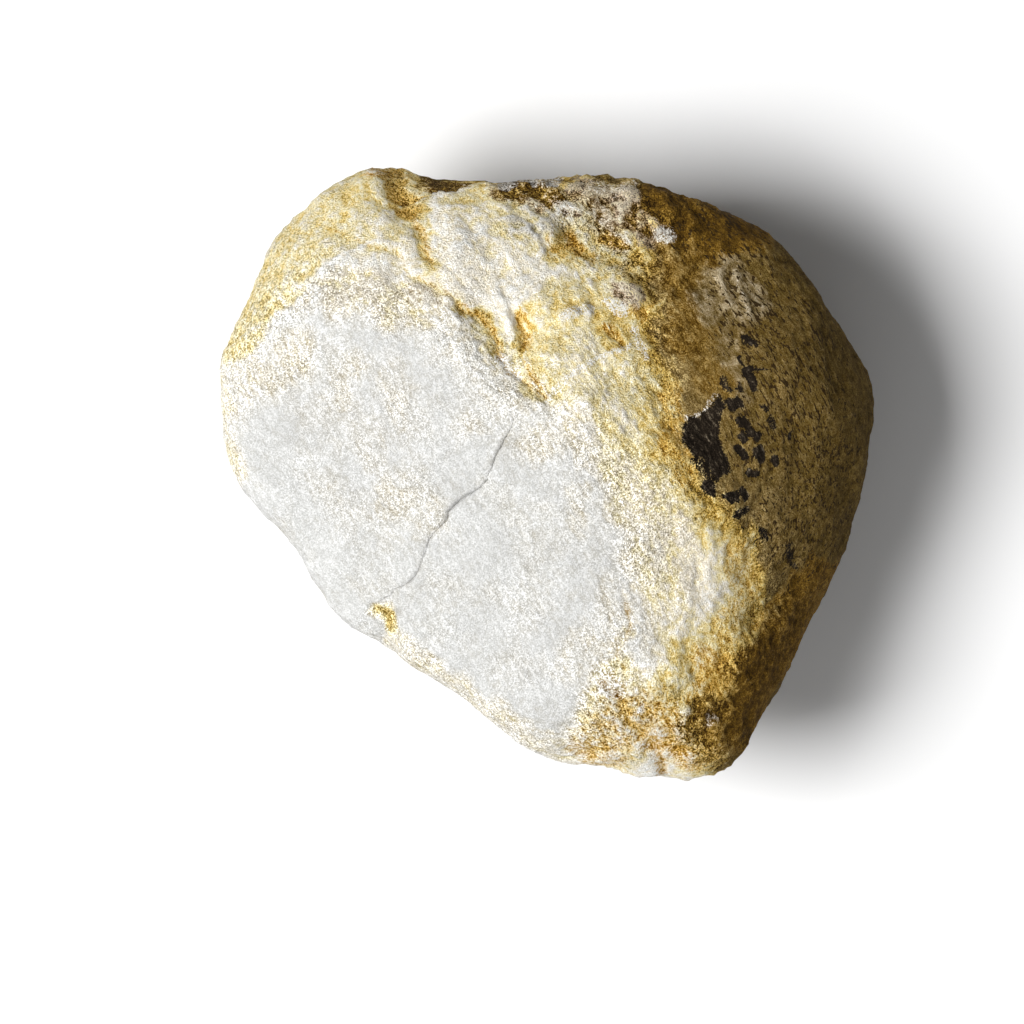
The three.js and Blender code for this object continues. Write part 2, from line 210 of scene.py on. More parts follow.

# Stains, and some painted shade and shadow among them: strength, radius and path. Each field is
# the strongest of its marks. The marks thinner than THIN follow the folds.
THIN = 1.5
STAINS = {
    "ochre": [
        (0.62, 5, [(18, 24), (19, 14), (20, 8)]),
        (0.95, 3, [(22, 17), (23, 10), (25, 3)]),
        (0.42, 5, [(12, 26), (12, 14), (14, 7)]),
        (0.66, 4, [(11, 27), (13, 24)]),
        (0.54, 5, [(25, -34), (23, -41)]),
        (0.32, 6, [(13, 2), (19, -10), (23, -26)]),
        (0.40, 6, [(20, -43), (15, -47), (12, -52)]),
        (0.40, 6, [(13, -40), (10, -48)]),
        (0.54, 4, [(-59, 23), (-52, 30)]),
        (0.34, 3, [(-60, 20), (-59.5, 8), (-58, 0)]),
        (0.45, 6, [(0, 22), (2, 30), (7, 30)]),
        (0.34, 6, [(3, 16), (8, 20)]),
        (0.50, 5, [(12, 38), (8, 38)]),
        (0.44, 4, [(4, 45), (7, 43), (3, 40)]),
        (0.33, 5, [(-18, 50), (-6, 46), (1, 42)]),
        (0.82, 4, [(18, 39), (18, 31)]),
        (0.80, 2, [(3, 43), (6, 40)]),
        (0.26, 5, [(-36, 33), (-24, 31), (-18, 30)]),
        (0.60, 1.7, LONG_FOLD_END[:6]),
        (0.36, 3.0, LONG_FOLD_END[:6]),
        (0.62, 1.8, [(-4.5, 28.5), (-4.0, 25), (-3.5, 22.5)]),
        (0.36, 2.0, LONG_FOLD_END[5:]),
        (0.30, 2.0, LONG_FOLD),
        (0.50, 1.8, FISSURE),
        (0.38, 5, [(-36, 46), (-28, 44)]),
        (0.88, 2.8, [(-27.5, 54), (-24.5, 48)]),
        (0.26, 2.5, LOWER_RIM),
        (0.14, 2.5, [(-30, -2), (-28, -7)]),
        (0.14, 4, [(-25, -4), (-21, -9)]),
        (0.11, 3, [(-34, 9), (-32, 3)]),
        (0.12, 3, [(-16, 8.5), (-11, 8.5)]),
        (0.13, 4, [(-29, 18), (-26, 11)]),
        (0.17, 3, [(-38, 14), (-36, 20)]),
        (0.22, 6, [(-56, 16), (-46, 21)]),
        (0.56, 1.8, [(-30.5, -25.3), (-29.5, -27.6)]),
        (0.20, 2.0, [(5, 9), (9, -2)]),
        (0.26, 1.5, [(14.5, -24), (13, -33), (14, -37)]),
        (0.15, 4, [(4, -36), (10, -30), (12, -22)]),
        (0.18, 3, [(-3, 4), (1, 6)]),
        (0.14, 2.5, [(5, -4), (6, -10)]),
    ],
    "rust": [
        (0.36, 0.8, FISSURE),
        (0.42, 2.4, [(-27.5, 53), (-24.5, 48.5)]),
        (0.55, 1.8, [(-31, 55.5), (-28, 55)]),
        (0.30, 0.7, LONG_FOLD_END),
        (0.42, 0.9, LONG_FOLD_END[:5]),
        (0.22, 0.7, LONG_FOLD),
        (0.40, 1.4, [(-4.6, 28.5), (-3.8, 25), (-3.6, 23)]),
        (0.34, 1.0, [(-3.5, 20), (-3, 18), (-1, 15)]),
        (0.34, 0.9, [(-7, 18), (-5, 17), (-2, 15)]),
        (0.28, 3.0, [(1, 43), (8, 39)]),
        (0.60, 1.3, [(4, 43), (6, 40.5)]),
        (0.65, 1.3, [(11, 42.5), (14, 41)]),
        (0.50, 0.9, [(11, 26.5), (13, 24.5)]),
        (0.40, 1.4, ORANGE_SEAM),
        (0.42, 6, [(10, -49), (13, -44), (20, -46)]),
        (0.50, 5, [(26, -50), (31, -44), (32, -36)]),
        (0.40, 4, [(29, -35), (29, -41)]),
        (0.40, 1.2, LEDGE),
        (0.30, 1.2, [(4, -51), (8, -52)]),
        (0.26, 0.8, [(14.5, -24), (15, -28), (13, -33), (14, -37)]),
        (0.36, 3, [(22, 14), (23, 4), (26, -2)]),
        (0.30, 3, [(34, -14), (36, -22), (33, -30)]),
        (0.40, 1.5, [(16, 30), (18, 28)]),
    ],
    "umber_and_shade": [
        # Partly brown skin, partly a painted shadow along the top right edge.
        (1.20, 4.5, [(21, 50), (25, 46), (29, 44), (36, 44)]),
        (0.60, 2.0, [(25, 40), (29, 39)]),
        # The next two marks: partly brown skin, partly painted shade where the top slopes away
        # behind its edge.
        (0.85, 2.4, [(-21, 53.5), (-16, 52.5)]),
        (0.85, 2.6, [(-6, 51.5), (1, 50.5)]),
        (0.55, 1.5, [(16, 46), (19, 43.5)]),
        (0.60, 5, [(30, -48), (34, -42)]),
        (0.85, 4.5, [(48, -19), (46, -25), (43, -31)]),
        (1.05, 4.5, [(42, -32), (37, -37), (36, -46)]),
        (0.70, 3, [(25, -47), (31, -42)]),
        (0.55, 3.5, [(24, 43), (24, 37), (24, 30), (25, 24)]),
        # Partly brown skin, partly painted shade on the slope that turns away here.
        (0.42, 4, [(28, 23), (31, 17)]),
        (0.35, 2, [(-26, 53), (-24.5, 49)]),
        (0.50, 3, [(9, 45), (14, 43)]),
        (0.45, 3, [(15, 38), (19, 36)]),
        # Painted shadow along the dark line under the ledge of the broken zone.
        (0.45, 2, [(4, 48.5), (10, 47)]),
        (0.30, 1.2, [(16, 35), (18, 31)]),
    ],
    "dust_and_shade": [
        (0.60, 5, [(30, 31), (32, 35), (36, 31)]),
        (0.60, 1.2, [(31, 39), (34, 35), (38, 28)]),
        # Partly painted shadow above the broken zone's lumps, near the top edge.
        (0.5, 3, [(6, 50), (14, 49)]),
        (0.35, 2.5, [(33, 26), (36, 14)]),
        # Painted shade where the shoulder turns away from the light.
        (0.34, 6, [(16, 0), (20, -6), (24, -12), (25, -18)]),
        # Partly painted shade of the long fold.
        (0.34, 4, [(-37, 33), (-30, 34), (-22, 32)]),
        (0.30, 4, [(-18, 38), (-12, 34)]),
    ],
    "grey_and_shade": [
        # The next two marks: partly the crumbs' own colour, partly painted shadow above the broken
        # zone's lumps.
        (0.60, 3.5, [(6, 50), (12, 48)]),
        (0.90, 2.5, [(14, 48), (18, 45), (19, 43)]),
        # The next two marks: painted shadow along the dark line under the ledge of the broken zone.
        (0.60, 0.8, [(-8, 52), (-4, 50), (-2, 47.5)]),
        (0.70, 0.7, [(3, 47.6), (6, 47)]),
        # Partly painted shade where the top slopes away behind its edge.
        (0.60, 2.5, [(-9, 53), (-3, 50)]),
        (1.00, 1.8, [(13.5, 33), (16, 32)]),
        # Painted shadow along the dark line under the ledge of the broken zone.
        (0.35, 2.5, [(1, 47), (5, 46)]),
        # Partly painted shade of the long fold.
        (0.32, 3.0, [(-26, 33.5), (-17, 31.5)]),
    ],
    "black": [
        (0.95, 0.96, [(33, 12.8), (33.8, 11.8)]),
        (0.85, 0.84, [(34.8, 13), (35.2, 12.2)]),
        (0.95, 1.08, [(35, 9.2), (36.3, 8.6)]),
        (1.00, 1.08, [(37, 7.6), (38, 6.6)]),
        (0.95, 0.84, [(35.2, 6.6), (35.8, 5.6)]),
        (0.95, 0.84, [(34.5, 4.3), (36, 2.8)]),
        (1.00, 1.08, [(38.4, 4.2), (38.7, 2.4)]),
        (0.85, 0.72, [(41, 3), (41.5, 1.6)]),
        (1.00, 0.96, [(37.1, 0.1), (37.6, -0.2)]),
        (1.00, 0.60, [(44.3, 7.2), (44.2, 6)]),
        (0.75, 0.60, [(39.3, 11.8), (39.7, 11.2)]),
        (0.75, 0.60, [(34.8, 15.6), (35.4, 14.6)]),
        (0.95, 0.96, [(36, 18.4), (37.2, 16.9), (37.8, 15.4)]),
        (0.75, 0.48, [(36, 19), (40, 18.6)]),
        (0.95, 0.48, [(34.8, 20.6), (35.2, 19.8)]),
        (0.85, 1.08, [(36.3, 24.5), (37.8, 23.2)]),
        (0.85, 1.32, [(29.3, -2.4), (30, -3.4)]),
        (0.85, 1.08, [(32.8, -4.2), (34, -4.8)]),
        (0.85, 0.96, [(35.6, -3.6), (36, -4.6)]),
        (0.75, 1.08, [(34.6, -7.6), (36, -7)]),
        (0.75, 0.72, [(38.7, -10.3), (40, -12)]),
        (0.65, 0.72, [(43.5, -13.5), (45, -17)]),
        (0.65, 0.96, [(40.5, 9.5), (41.5, 8)]),
        (0.65, 1.20, [(27, 2), (30, -1)]),
        (0.65, 0.96, [(32, 16.5), (33, 15)]),
    ],
    "specks": [
        (0.30, 6, [(31, 12), (37, 4), (43, -8), (46, -20)]),
        (0.60, 5, [(38, 12), (41, 2), (42, -6)]),
        (0.70, 9, [(38, 30), (44, 20), (48, 5), (46, -10)]),
        (0.20, 4, [(24, 12), (25, 2), (28, -8)]),
        (0.50, 7, [(30, 44), (38, 36)]),
    ],
    "white": [
        (0.5, 0.9, HEALED_SEAM[1:]),
        (0.6, 2.0, [(-18, 28), (-16, 27.5)]),
        (0.6, 1.4, [(20.5, 43.3), (22.5, 42.8)]),
        (0.6, 1.2, [(3, 28), (8, 29.5)]),
        (0.6, 1.0, [(11, 31), (14, 29)]),
        (0.4, 1.6, [(25, -43)]),
        (0.45, 2.0, [(9, -37), (13, -40)]),
        (0.5, 1.2, [(17, -43)]),
        (0.4, 1.2, [(18, -50)]),
        (0.35, 1.5, [(30, -45)]),
        (0.35, 0.5, [(34, 36), (35, 33), (37, 28)]),
        (0.4, 1.0, HEALED_SEAM),
        (0.6, 2.0, [(-8, 19), (-6.5, 18)]),
        (0.35, 2.0, [(0, 48), (3, 46)]),
        (0.5, 1.5, [(16, 25), (17, 22)]),
        (0.38, 0.7, [(25.5, 9.6), (28, 10.8), (29.5, 12.4), (31, 14.4)]),
        (0.5, 1.5, [(-8, 54), (2, 53.5)]),
        (0.35, 2.5, [(10, 51), (14, 51)]),
    ],
}

# ------------------------------------------------------------------ number tools


def smoothstep(values, low, high):
    """0 at low and 1 at high, with a soft rise or fall between them."""
    t = np.clip((values - low) / (high - low), 0, 1)
    return t * t * (3 - 2 * t)


def noise(points, size, seed):
    """Smooth noise from about -1 to 1 at each point, with bumps about size apart."""
    rng = np.random.default_rng(seed)
    table = rng.permutation(256)
    slopes = rng.normal(size=(256, 3))
    slopes /= np.linalg.norm(slopes, axis=1, keepdims=True)
    spot = points / size + seed * SEED_SHIFT
    cell = np.floor(spot).astype(int)
    part = spot - cell
    weight = part**3 * (part * (part * 6 - 15) + 10)
    total = np.zeros(len(points))
    for corner in itertools.product((0, 1), repeat=3):
        x, y, z = (cell + corner).T
        key = table[(table[(table[x & 255] + y) & 255] + z) & 255]
        share = np.prod(np.where(corner, weight, 1 - weight), axis=1)
        total += share * np.einsum("ij,ij->i", slopes[key], part - corner)
    return total * NOISE_GAIN


def fractal(points, size, seed, octaves=3):
    """Noise with finer and weaker noise added to it."""
    return sum(0.5**i * noise(points, size / 2**i, seed + i) for i in range(octaves))


def ridged(points, size, seed, octaves=3):
    """Sharp crests between rounded hollows, from about -1 to 1."""
    layers = (1 - 2.6 * abs(noise(points, size / 2**i, seed + i)) for i in range(octaves))
    return sum(0.5**i * layer for i, layer in enumerate(layers))


def path_distance(places, path):
    """How far each place lies from a line, and on which side: 1 is left of its run."""
    nearest = np.full(len(places), np.inf)
    side = np.zeros(len(places))
    corners = np.array(path if len(path) > 1 else path * 2, float)
    for a, b in zip(corners[:-1], corners[1:]):
        run = b - a
        t = np.clip((places - a) @ run / max(run @ run, 1e-9), 0, 1)
        off = places - a - t[:, None] * run
        gap = np.hypot(off[:, 0], off[:, 1])
        closer = gap < nearest
        nearest[closer] = gap[closer]
        side[closer] = np.sign(run[0] * off[closer, 1] - run[1] * off[closer, 0])
    return nearest, side


def region_depth(places, outline):
    """How far inside a closed outline each place lies; outside is negative."""
    gap, _ = path_distance(places, [*outline, outline[0]])
    inside = np.zeros(len(places), bool)
    for (ax, ay), (bx, by) in zip(outline, [*outline[1:], outline[0]]):
        spans = (ay > places[:, 1]) != (by > places[:, 1])
        slope = (bx - ax) / (by - ay) if by != ay else 0
        inside ^= spans & (places[:, 0] < ax + (places[:, 1] - ay) * slope)
    return np.where(inside, gap, -gap)


def strokes(places, marks):
    """The strongest of several soft marks at each place."""
    total = np.zeros(len(places))
    for strength, radius, path in marks:
        gap, _ = path_distance(places, path)
        total = np.maximum(total, strength * smoothstep(gap, 1.5 * radius, 0.45 * radius))
    return total


def bell(gap, width):
    """1 on a line, with a round top."""
    return np.exp(-((gap / width) ** 2))


def cusp(gap, width):
    """1 on a line, with a sharp top."""
    return np.exp(-gap / width)


# ------------------------------------------------------------------ mesh tools


def geodesic_ball():
    """Unit directions and triangles of an evenly cut icosahedron."""
    ball = bmesh.new()
    bmesh.ops.create_icosphere(ball, subdivisions=1, radius=1)
    bmesh.ops.subdivide_edges(ball, edges=ball.edges[:], cuts=EDGE_CUTS, use_grid_fill=True)
    points, triangles = points_and_triangles(ball)
    return points / np.linalg.norm(points, axis=1, keepdims=True), triangles


def points_and_triangles(mesh):
    """The points and triangles of a bmesh, which is then let go."""
    bmesh.ops.triangulate(mesh, faces=[f for f in mesh.faces if len(f.verts) > 3])
    mesh.verts.index_update()
    points = np.array([v.co for v in mesh.verts])
    triangles = np.array([[v.index for v in f.verts] for f in mesh.faces])
    mesh.free()
    return points, triangles


def cut_finer(points, triangles, path, reach):
    """The mesh with the edges near a path as seen cut in two."""
    mesh = bmesh.new()
    verts = [mesh.verts.new(p) for p in points]
    for a, b, c in triangles:
        mesh.faces.new((verts[a], verts[b], verts[c]))
    mesh.verts.index_update()
    near = (path_distance(as_seen(points), path)[0] < reach) & (points[:, 2] > SEEN_HEIGHT)
    chosen = [e for e in mesh.edges if near[e.verts[0].index] and near[e.verts[1].index]]
    bmesh.ops.subdivide_edges(mesh, edges=chosen, cuts=1, use_grid_fill=True)
    return points_and_triangles(mesh)


def edges_of(triangles):
    """Each edge once, as its two point numbers."""
    pairs = np.concatenate([triangles[:, [0, 1]], triangles[:, [1, 2]], triangles[:, [2, 0]]])
    return np.unique(np.sort(pairs, axis=1), axis=0)


def smoothed(values, edges, rounds):
    """Each point's value moved half way to its neighbours' mean, several times."""
    ends = np.concatenate([edges[:, 0], edges[:, 1]])
    others = np.concatenate([edges[:, 1], edges[:, 0]])
    number = np.bincount(ends, minlength=len(values))[:, None]
    columns = values.reshape(len(values), -1)
    for _ in range(rounds):
        sums = [np.bincount(ends, column[others], len(values)) for column in columns.T]
        columns = 0.5 * columns + 0.5 * np.stack(sums, axis=1) / number
    return columns.reshape(values.shape)


def unit(vectors):
    """The vectors at a length of 1."""
    return vectors / np.linalg.norm(vectors, axis=1, keepdims=True)


def point_normals(points, triangles):
    """Each point's outward direction, from the triangles around it."""
    a, b, c = (points[triangles[:, i]] for i in range(3))
    across = np.cross(b - a, c - a)
    total = np.zeros_like(points)
    for i, axis in itertools.product(range(3), range(3)):
        total[:, axis] += np.bincount(triangles[:, i], across[:, axis], len(points))
    return unit(total)


def gathered_upwards(directions):
    """Directions moved towards +Z, so that the triangles are finer on the upper side."""
    above = (1 + directions[:, 2]) * UPPER_SIDE_DENSITY**2
    below = 1 - directions[:, 2]
    up = (above - below) / (above + below)
    flat = np.maximum(np.hypot(directions[:, 0], directions[:, 1]), 1e-9)
    across = np.sqrt(np.maximum(1 - up**2, 0)) / flat
    return np.stack([directions[:, 0] * across, directions[:, 1] * across, up], axis=1)


def cad_surface(node):
    """The CAD solid's surface, rounded by subdivision, ready for rays."""
    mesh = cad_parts[node].data.copy()
    joined = bmesh.new()
    joined.from_mesh(mesh)
    bmesh.ops.remove_doubles(joined, verts=joined.verts[:], dist=1e-6)
    joined.to_mesh(mesh)
    joined.free()
    rounded = bpy.data.objects.new("rounded_cad", mesh)
    bpy.context.scene.collection.objects.link(rounded)
    rounded.modifiers.new("round", "SUBSURF").levels = 2
    tree = BVHTree.FromObject(rounded, bpy.context.evaluated_depsgraph_get())
    bpy.data.objects.remove(rounded)
    bpy.data.meshes.remove(mesh)
    return tree


def as_seen(points):
    """Where the camera sees points, as x and y at SEEN_HEIGHT."""
    reach = (EYE[2] - SEEN_HEIGHT) / (EYE[2] - points[:, 2:3])
    return EYE[:2] + (points[:, :2] - EYE[:2]) * reach


def mark_places(points, normals):
    """Places as seen, led outwards where the side turns under, so that marks end there."""
    turned = smoothstep(normals[:, 2], 0.1, -0.5)
    return as_seen(points) + TURNED_REACH * turned[:, None] * normals[:, :2]


def base_mesh():
    """The smooth stone: points in mm, triangles, edges and normals."""
    directions, triangles = geodesic_ball()
    tree = cad_surface("geode")
    core = Vector(CORE * MM)
    hits = [tree.ray_cast(core, Vector(d))[0] for d in gathered_upwards(directions)]
    points = smoothed(np.array(hits) / MM, edges_of(triangles), FACET_ROUNDING)
    for reach in CRACK_CUTS:
        points, triangles = cut_finer(points, triangles, CRACK, reach)
    edges = edges_of(triangles)
    return points, triangles, edges, unit(smoothed(point_normals(points, triangles), edges, 3))


# ------------------------------------------------------------------ the stone's shape


def along_fibres(points):
    """Points in a space where the fibres are shrunk along their run, and slightly wavy."""
    along = np.array([math.cos(FIBRE_ANGLE), math.sin(FIBRE_ANGLE), 0])
    wavy = points + 1.5 * np.stack([noise(points, 17, seed) for seed in (91, 92, 93)], axis=1)
    return wavy - (1 - 1 / FIBRE_STRETCH) * (wavy @ along)[:, None] * along


def upper_share(points, normals):
    """1 on the side that the camera sees, 0 on the hidden side, with an uneven border."""
    return smoothstep(normals[:, 2] + 0.25 * fractal(points, 14, 107), -0.7, -0.1)


def off_pale_face(seen):
    """0 well inside the pale face, 1 well outside it."""
    return 1 - smoothstep(region_depth(seen, PALE_FACE), -9, 5)


def roughness(points, normals, seen):
    """How broken the surface is at each point, from 0 to 1."""
    upper = upper_share(points, normals)
    shift = 2 * np.stack([fractal(points, 9, seed) for seed in (85, 88)], axis=1)
    return upper * strokes(seen + shift, ROUGH) + 0.6 * (1 - upper)


def relief(points, normals, seen, rough):
    """How far each point is moved along its normal, in mm."""
    off_face = off_pale_face(seen)
    skin = smoothstep(region_depth(seen, CORTEX), -2, 6)
    rim = smoothstep(normals[:, 2], 0.75, 0.3) * (1 - 0.7 * skin)
    fibres = along_fibres(points)
    lumps = 0.3 * fractal(points, 15, 1, 2)
    lumps += (0.12 + 0.4 * off_face * (1 - 0.5 * skin)) * fractal(points, 7, 5)
    knobs = 0.35 * np.maximum(rim, off_face * 0.5) * fractal(points, 4.5, 9)
    broken = rough * (0.45 * ridged(points, 6, 13, 3) + 0.6 * fractal(fibres, 3.2, 17, 3))
    grains = (0.10 + 0.07 * off_face + 0.15 * rough) * fractal(points, 1.5, 21, 2)
    threads = (0.08 + 0.07 * off_face) * fractal(fibres, 1.2, 25, 2)
    total = lumps + knobs + broken + grains + threads
    return total + upper_share(points, normals) * features(points, seen)


def wander(points, size, seeds):
    """A sideways shift of each point, about 1 at most, for uneven outlines."""
    return np.stack([fractal(points, size, seed, 2) for seed in seeds], axis=1)


def fold_places(points, seen):
    """Where each point lies among the folds, whose lines it makes uneven."""
    return seen + 0.5 * wander(points, 4, (31, 35))


def features(points, seen):
    """The upper side's own folds, lips, ridges and patch."""
    folds = fold_places(points, seen)
    cracks = seen + 0.12 * wander(points, 1.8, (31, 35))
    fade = 0.8 + 0.6 * noise(points, 5, 39)
    total = np.zeros(len(points))
    for height, width, path in RIDGES:
        total += height * bell(path_distance(folds, path)[0], width)
    grooves = [depth * cusp(path_distance(cracks if width < FINE else folds, path)[0], width)
               for depth, width, path in GROOVES]
    total -= fade * np.max(grooves, axis=0)
    for height, reach, raised, path in LIPS:
        gap, side = path_distance(cracks if path is CRACK else folds, path)
        total += height * np.where(side == raised, cusp(gap, reach), 0)
    return total - 0.1 * smoothstep(region_depth(folds, BLACK_PATCH), -0.5, 0.8)


# ------------------------------------------------------------------ stains and painted shade


def marked_fields(places, folds, spots):
    """The fields of the listed marks, by name."""
    fields = {}
    for name, marks in STAINS.items():
        thin = [mark for mark in marks if mark[1] < THIN]
        wide = [mark for mark in marks if mark[1] >= THIN]
        narrow = strokes(spots if name == "black" else folds, thin)
        fields[name] = np.maximum(narrow, strokes(places, wide))
    return fields


def ochre_field(points, seen, places, marks):
    """The ochre marks, with the halo of the skin's border and a faint tint everywhere."""
    depth = region_depth(places, CORTEX)
    halo = HALO_STRENGTH * cusp(np.abs(depth), np.where(depth > 0, HALO_OVER_SKIN, HALO_OVER_CHALK))
    streaky = np.maximum(marks, halo) * (1 + 0.3 * fractal(along_fibres(points), 3, 57))
    upper_left = 0.50 * smoothstep(region_depth(places, UPPER_LEFT), -7, 5)
    everywhere = 0.03 + 0.17 * off_pale_face(seen) + 0.08 * fractal(points, 9, 59)
    return np.maximum.reduce([streaky, upper_left, everywhere])


def stain_fields(points, normals, seen):
    """Each stain's strength at each point, by name; some fields also hold painted shade."""
    places = seen + 2.0 * wander(points, 7, (41, 45)) + 0.6 * wander(points, 1.8, (47, 49))
    folds = fold_places(points, seen) + 0.3 * wander(points, 1.2, (47, 49))
    spots = seen + 0.6 * wander(points, 2, (51, 55))
    fields = marked_fields(places, folds, spots)
    fields["ochre"] = ochre_field(points, seen, places, fields["ochre"])
    patch = smoothstep(region_depth(spots, BLACK_PATCH), -1.6, 0.8)
    fields["black"] = np.maximum(fields["black"], patch)
    fields["cortex"] = smoothstep(region_depth(places, CORTEX), -4, 4)
    upper = upper_share(points, normals)
    hidden = hidden_fields(points)
    return {name: upper * field + (1 - upper) * hidden[name] for name, field in fields.items()}


def hidden_fields(points):
    """The stains of the side that the camera doesn't see."""
    weathered = smoothstep(points[:, 0] + 12 * fractal(points, 18, 81), -25, 15)
    return {
        "ochre": np.clip(0.35 + 0.4 * fractal(points, 16, 61), 0, 1),
        "rust": np.clip(0.55 * fractal(points, 11, 65), 0, 0.6),
        "grey_and_shade": np.clip(0.6 * fractal(points, 13, 69), 0, 0.6),
        "black": smoothstep(fractal(points, 6, 73), 0.85, 1.1),
        "white": 0.12 * smoothstep(fractal(points, 12, 77), 0.5, 1.0),
        "cortex": np.clip(0.15 + 0.75 * weathered + 0.3 * fractal(points, 10, 82), 0, 1),
        "dust_and_shade": np.clip(0.55 * fractal(points, 15, 83), 0, 0.7),
        "umber_and_shade": np.clip(0.45 * fractal(points, 10, 97), 0, 0.6),
        "specks": np.clip(0.3 + 0.6 * fractal(points, 14, 87), 0, 1),
    }


# ------------------------------------------------------------------ the material


class Graph:
    """Short ways to add and join the nodes of a material."""

    def __init__(self, name):
        self.material = bpy.data.materials.new(name)
        self.material.use_nodes = True
        self.tree = self.material.node_tree
        self.tree.nodes.clear()

    def add(self, kind, inputs, output=0, **settings):
        """A new node's output, with the node's inputs filled in."""
        node = self.tree.nodes.new(kind)
        for key, value in settings.items():
            setattr(node, key, value)
        for key, value in inputs.items():
            self.put(node.inputs[key], value)
        return node.outputs[output] if node.outputs else None

    def put(self, socket, value):
        """Link a socket to an input, or set the input's own value."""
        if isinstance(value, bpy.types.NodeSocket):
            self.tree.links.new(value, socket)
        elif isinstance(value, tuple) and len(value) == 3 and socket.type == "RGBA":
            socket.default_value = (*value, 1)
        else:
            socket.default_value = value

    def math(self, operation, a, b=0.0, c=0.0):
        """The result of a Math node."""
        return self.add("ShaderNodeMath", {0: a, 1: b, 2: c}, operation=operation)

    def total(self, *terms):
        """The sum of sockets, each of which may come with a share."""
        result = 0.0
        for term in terms:
            value, share = term if isinstance(term, tuple) else (term, 1.0)
            result = self.math("MULTIPLY_ADD", value, share, result)
        return result

    def attribute(self, name, output="Fac"):
        """What the mesh's points hold under a name."""
        return self.add("ShaderNodeAttribute", {}, output, attribute_name=name)

    def noise(self, where, size, detail=2.0, shift=0.0, roughness=0.6):
        """Noise of about -0.5 to 0.5, with bumps about size apart in mm."""
        moved = self.add("ShaderNodeVectorMath", {0: where, 1: (shift, shift, shift)})
        inputs = {"Vector": moved, "Scale": 1 / size, "Detail": detail,
                  "Roughness": roughness}
        raw = self.add("ShaderNodeTexNoise", inputs)
        return self.math("MULTIPLY_ADD", raw, 2.0, -1.0)

    def step(self, value, low, high):
        """0 below low and 1 above high, with a soft rise between them."""
        inputs = {"Value": value, "From Min": low, "From Max": high}
        return self.add("ShaderNodeMapRange", inputs, interpolation_type="SMOOTHSTEP")

    def ramp(self, value, tones):
        """The colour at a value from 0 to 1, between the tones given at some values."""
        colour = self.add("ShaderNodeValToRGB", {"Fac": value})
        stops = colour.node.color_ramp.elements
        for at, tone in tones[1:-1]:
            stops.new(at)
        for stop, (at, tone) in zip(stops, tones):
            stop.position = at
            stop.color = (*tone, 1)
        return colour

    def mix(self, share, a, b):
        """Colour a, with a share of colour b over it."""
        return self.add("ShaderNodeMix", {"Factor": share, 6: a, 7: b}, 2, data_type="RGBA")


# Each stain's colours, from weak to strong.
OCHRE_TONES = [
    (0.00, (0.83, 0.83, 0.805)),
    (0.08, (0.84, 0.815, 0.745)),
    (0.16, (0.87, 0.80, 0.65)),
    (0.27, (0.93, 0.81, 0.47)),
    (0.40, (0.89, 0.68, 0.25)),
    (0.55, (0.70, 0.47, 0.11)),
    (0.70, (0.46, 0.28, 0.045)),
    (0.85, (0.27, 0.15, 0.018)),
    (1.00, (0.13, 0.065, 0.006)),
]
SKIN_TONES = [
    (0.00, (0.38, 0.27, 0.10)),
    (0.20, (0.25, 0.167, 0.056)),
    (0.48, (0.15, 0.094, 0.021)),
    (0.78, (0.075, 0.044, 0.008)),
    (1.00, (0.028, 0.016, 0.003)),
]
RUST_TONES = [
    (0.00, (0.88, 0.66, 0.28)),
    (0.35, (0.76, 0.46, 0.09)),
    (0.65, (0.40, 0.20, 0.020)),
    (1.00, (0.10, 0.045, 0.005)),
]
UMBER_AND_SHADE_TONES = [
    (0.00, (0.32, 0.18, 0.028)),
    (0.45, (0.13, 0.068, 0.008)),
    (1.00, (0.035, 0.017, 0.003)),
]
GREY_AND_SHADE_TONES = [
    (0.00, (0.82, 0.70, 0.53)),
    (0.50, (0.34, 0.24, 0.14)),
    (1.00, (0.05, 0.033, 0.016)),
]
DUST_AND_SHADE_TONES = [
    (0.00, (0.48, 0.39, 0.25)),
    (0.50, (0.28, 0.205, 0.095)),
    (1.00, (0.11, 0.07, 0.025)),
]
BLACK_TONES = [
    (0.00, (0.16, 0.13, 0.09)),
    (0.25, (0.05, 0.038, 0.025)),
    (0.45, (0.020, 0.014, 0.009)),
    (1.00, (0.010, 0.007, 0.004)),
]
WHITE_TONE = (0.87, 0.84, 0.77)
SPECK_TONE = (0.045, 0.026, 0.008)


def stone_patterns(g):
    """The patterns that break the stains up, by name, each from about -0.5 to 0.5."""
    place = g.add("ShaderNodeTexCoord", {}, "Object")
    place = g.add("ShaderNodeVectorMath", {0: place, "Scale": 1 / MM}, operation="SCALE")
    fibres = g.attribute("fibres", "Vector")
    hollow = g.attribute("hollow")
    broad = g.noise(place, 6, 2)
    spots = g.noise(place, 1.3, 2, 7)
    grain = g.noise(place, 0.25, 2, 13, 0.75)
    strands = g.noise(fibres, 0.7, 3, 19, 0.65)
    crystals = g.add("ShaderNodeTexVoronoi", {"Vector": place, "Scale": 3.4}, "Color")
    crystals = g.math("ADD", crystals, -0.5)
    fine = g.total((grain, 0.9), (strands, 0.35), (crystals, 0.45), (g.attribute("face"), -0.1))
    fine = g.math("ADD", g.step(fine, -0.42, 0.42), -0.5)
    return {
        "broad": broad,
        "spots": spots,
        "strands": strands,
        "fine": fine,
        "mottle": g.total((broad, 0.35), (spots, 0.35), (strands, 0.5), (grain, 0.15),
                          (hollow, 0.8)),
        "woven": g.total((strands, 0.8), (fine, 0.5), (broad, 0.25), (hollow, 0.6)),
        "flecks": g.total(g.noise(fibres, 0.5, 1, 33), (g.noise(place, 3.0, 2, 31), 0.4)),
    }


